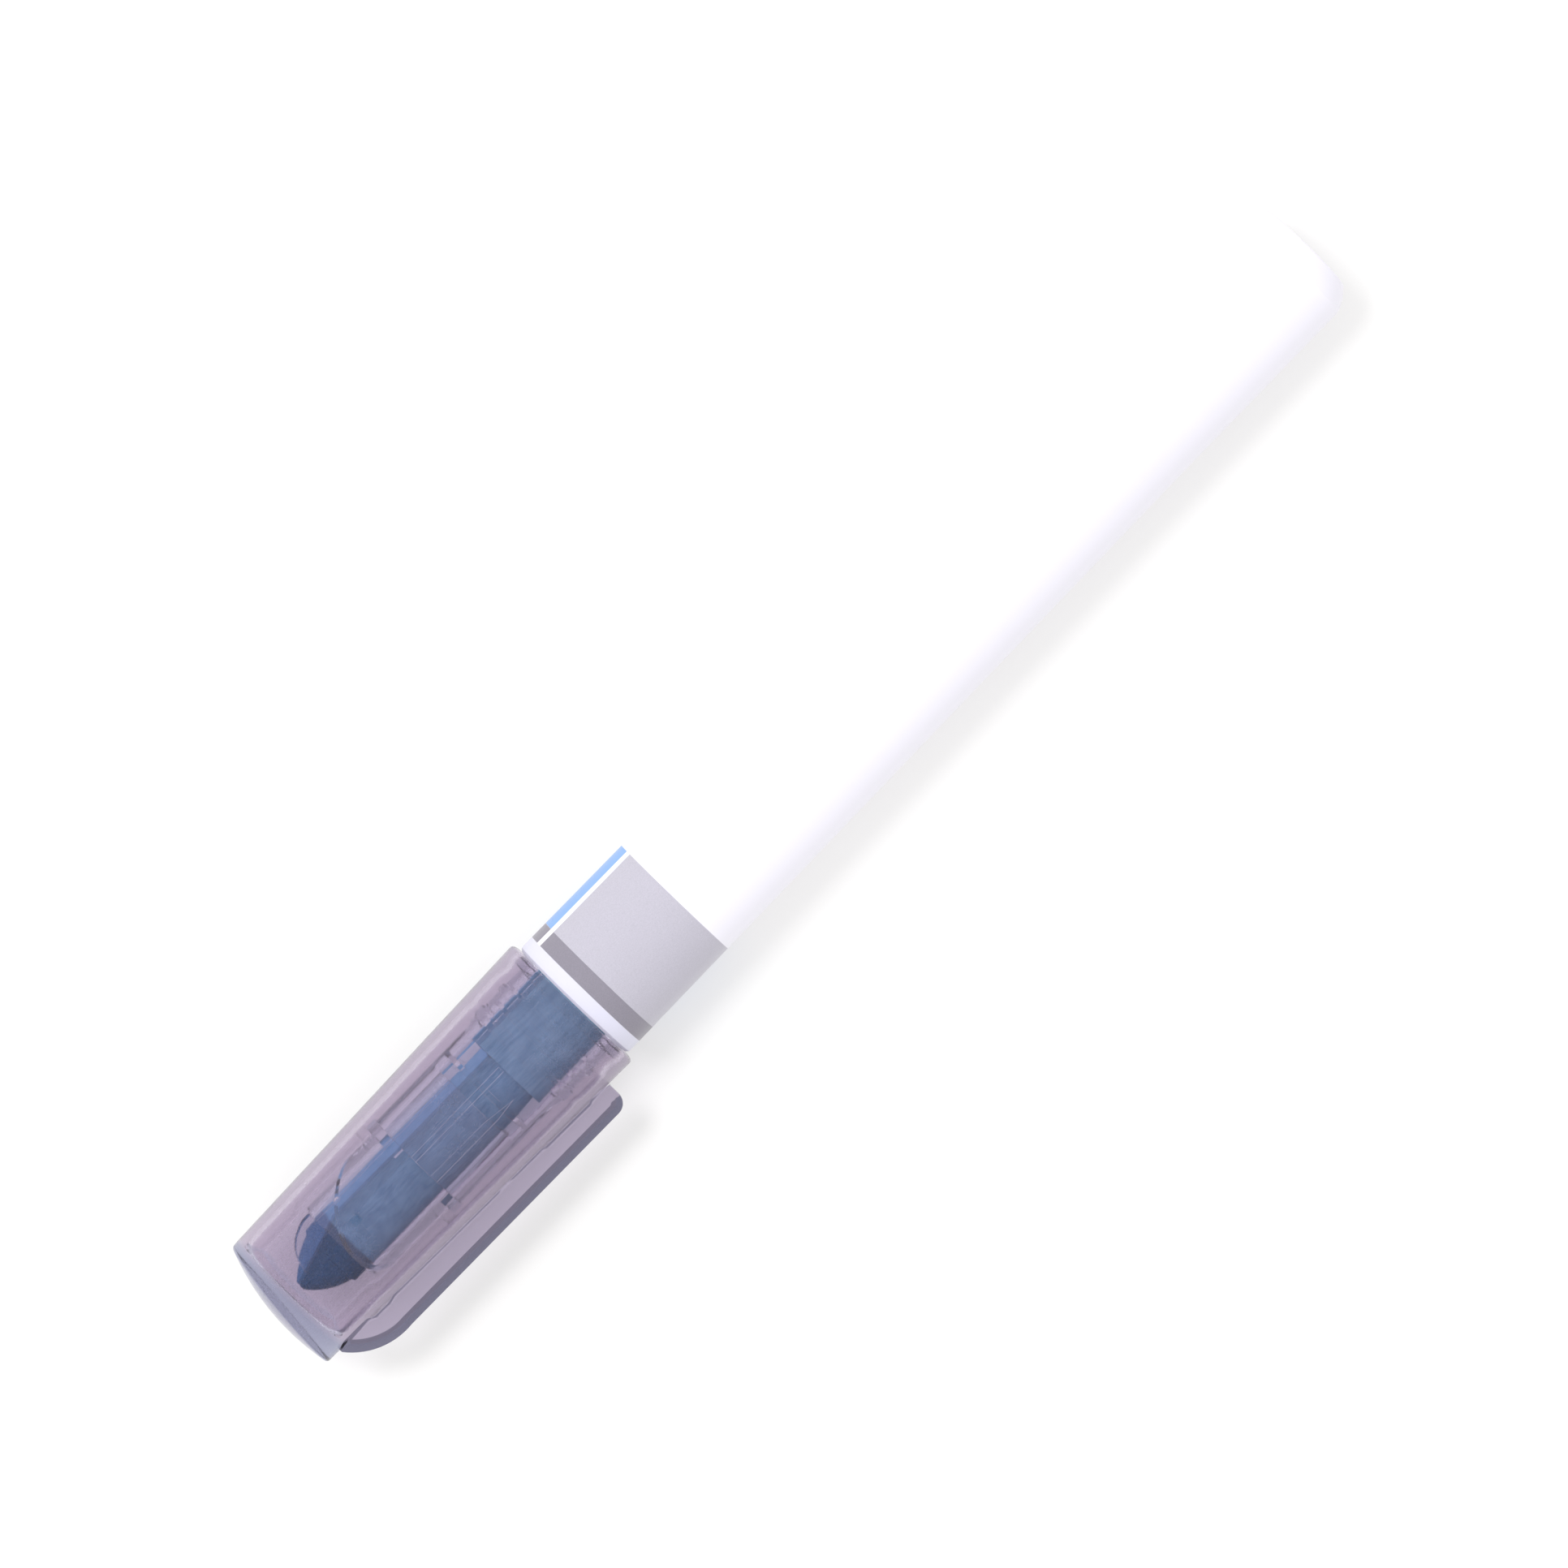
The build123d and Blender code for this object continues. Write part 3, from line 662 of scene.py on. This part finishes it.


# %% [markdown]
# The clip's sloping sides look darker than its top because light crosses them at a slant, so they get
# painted shade: the faces that lean both outwards and sideways get a darker smoky finish. In the front
# section, the rims of the two air grooves on each side get a painted highlight, an opaque white finish
# that stands for the glints they catch as thin bright lines.

# %% Soften the clip, the clear mouldings and the nibs
LEANING = 0.15  # least share of a normal that counts as leaning
clip = softened("pocket_clip", "smoky_clip_arm", 0.22 * MM, 4, smoky_clip)
clip.data.materials.append(painted_shade_slope)
# Faces that lean outwards and sideways get the painted shade.
for polygon in clip.data.polygons:
    if polygon.normal.y > LEANING and abs(polygon.normal.z) > LEANING:
        polygon.material_index = 1
hand_over(clip, "clip", "pocket_clip")

GROOVE_X = END_X / MM - 31.2, END_X / MM - 19.3  # reach of the air grooves in mm
GROOVE_Y = -0.8, 2.7
GROOVE_Z = 4.3
for node, name, slot, width, finishes in (
    ("front_section", "clear_front_section", "clear_section", 0.09, (section_clear, frost_and_highlight_edge)),
    ("nose_piece", "clear_nose", "clear_section", 0.06, (section_clear, frost_and_highlight_edge)),
    ("nib_divider", "clear_fin", "clear_divider", 0.06, (divider_clear, frost_and_highlight_edge)),
    ("gray_nib", "gray_felt_half", "gray_nib_fibre", 0.12, (gray_nib_fibre,)),
    ("blue_nib", "blue_felt_half", "blue_nib_fibre", 0.12, (blue_nib_fibre,)),
):
    piece = softened(node, name, width * MM, 2, *finishes)
    if node == "front_section":
        # The rims of the air grooves get the painted highlight finish.
        piece.data.materials.append(groove_painted_highlight)
        for polygon in piece.data.polygons:
            x, y, z = polygon.center / MM
            in_reach = GROOVE_X[0] < x < GROOVE_X[1] and GROOVE_Y[0] < y < GROOVE_Y[1]
            if polygon.material_index and in_reach and abs(z) > GROOVE_Z:
                polygon.material_index = 2
    hand_over(piece, "pen_body", node)
    edges = sum(polygon.material_index for polygon in piece.data.polygons)
    print("faces with the edge finish:", edges)


# %% [markdown]
# ## Studio
#
# The camera hangs a metre above the pen and looks straight down through a long lens, turned so that the
# pen lies on the view's diagonal with its tail up and to the right. One broad lamp from the far side
# of the clip throws the soft shadow; a white surround fills the rest. The floor glows a little, as a light
# table does, so the shadow stays pale. It is tipped by a fraction of a degree, because the pen rests on its
# cap's mouth and on the thinner tail.

# %% Camera
VIEW_TURN = radians(134.07)
VIEW_WIDTH = 144.7 * MM
camera_data = bpy.data.cameras.new("camera")
camera_data.sensor_width = 36.0
camera_data.lens = 36.0 / VIEW_WIDTH
camera_data.clip_end = 10.0
camera = bpy.data.objects.new("camera", camera_data)
camera.location = (69.0 * MM, 0.0, 1.0)
camera.rotation_euler = (0, 0, VIEW_TURN)
bpy.context.collection.objects.link(camera)
bpy.context.scene.camera = camera
print("lens", round(camera_data.lens), "mm")


# %% Floor
deselect()
mouth_x, mouth_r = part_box("outer_cap")[0].x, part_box("outer_cap")[1].z
tail_r = 6.45 * MM
tip = atan2(mouth_r - tail_r, mouth_x)
bpy.ops.mesh.primitive_plane_add(size=6.0, location=(0, 0, -tail_r - 0.05 * MM), rotation=(0, tip, 0))
floor = bpy.context.object
floor.name = "floor"
material, tree, place, output = new_finish("paper_floor")
paper = noise(tree, place, 60.0, 2.0)
shader = put(
    tree,
    "ShaderNodeBsdfPrincipled",
    Base_Color=mixed(tree, paper, (0.45, 0.45, 0.445, 1), (0.46, 0.46, 0.455, 1)),
    Roughness=0.9,
    Specular_IOR_Level=0.0,
    Emission_Color=(1, 0.99, 0.985, 1),
    Emission_Strength=0.47,
)
tree.links.new(shader.outputs[0], output.inputs["Surface"])
wear(material, floor)
print("floor tipped by", round(tip * 180 / pi, 2), "degrees")


# %% Lamps
def soft_lamp(name, direction, distance, size, power, colour=(1, 1, 1)):
    """A square area lamp at a distance along a direction from the pen's middle, facing it."""
    lamp = bpy.data.lights.new(name, "AREA")
    lamp.shape = "SQUARE"
    lamp.size = size
    lamp.energy = power
    lamp.color = colour
    lamp_object = bpy.data.objects.new(name, lamp)
    towards = Vector(direction).normalized()
    lamp_object.location = Vector((69 * MM, 0, 0)) + towards * distance
    lamp_object.rotation_euler = towards.to_track_quat("Z", "Y").to_euler()
    bpy.context.collection.objects.link(lamp_object)
    return lamp_object


key_lamp = soft_lamp("key_lamp", (0.12, -cos(radians(66)), sin(radians(66))), 1.2, 0.4, 8.0)
key_lamp.visible_glossy = False
key_lamp.visible_transmission = False
world = bpy.data.worlds.new("white_surround")
world.use_nodes = True
world.node_tree.nodes["Background"].inputs[0].default_value = (1.0, 0.995, 1.0, 1)
world.node_tree.nodes["Background"].inputs[1].default_value = 1.0
scene = bpy.context.scene
scene.world = world
scene.view_settings.view_transform = "Standard"
scene.cycles.max_bounces = 24
scene.cycles.transmission_bounces = 20
scene.cycles.transparent_max_bounces = 64
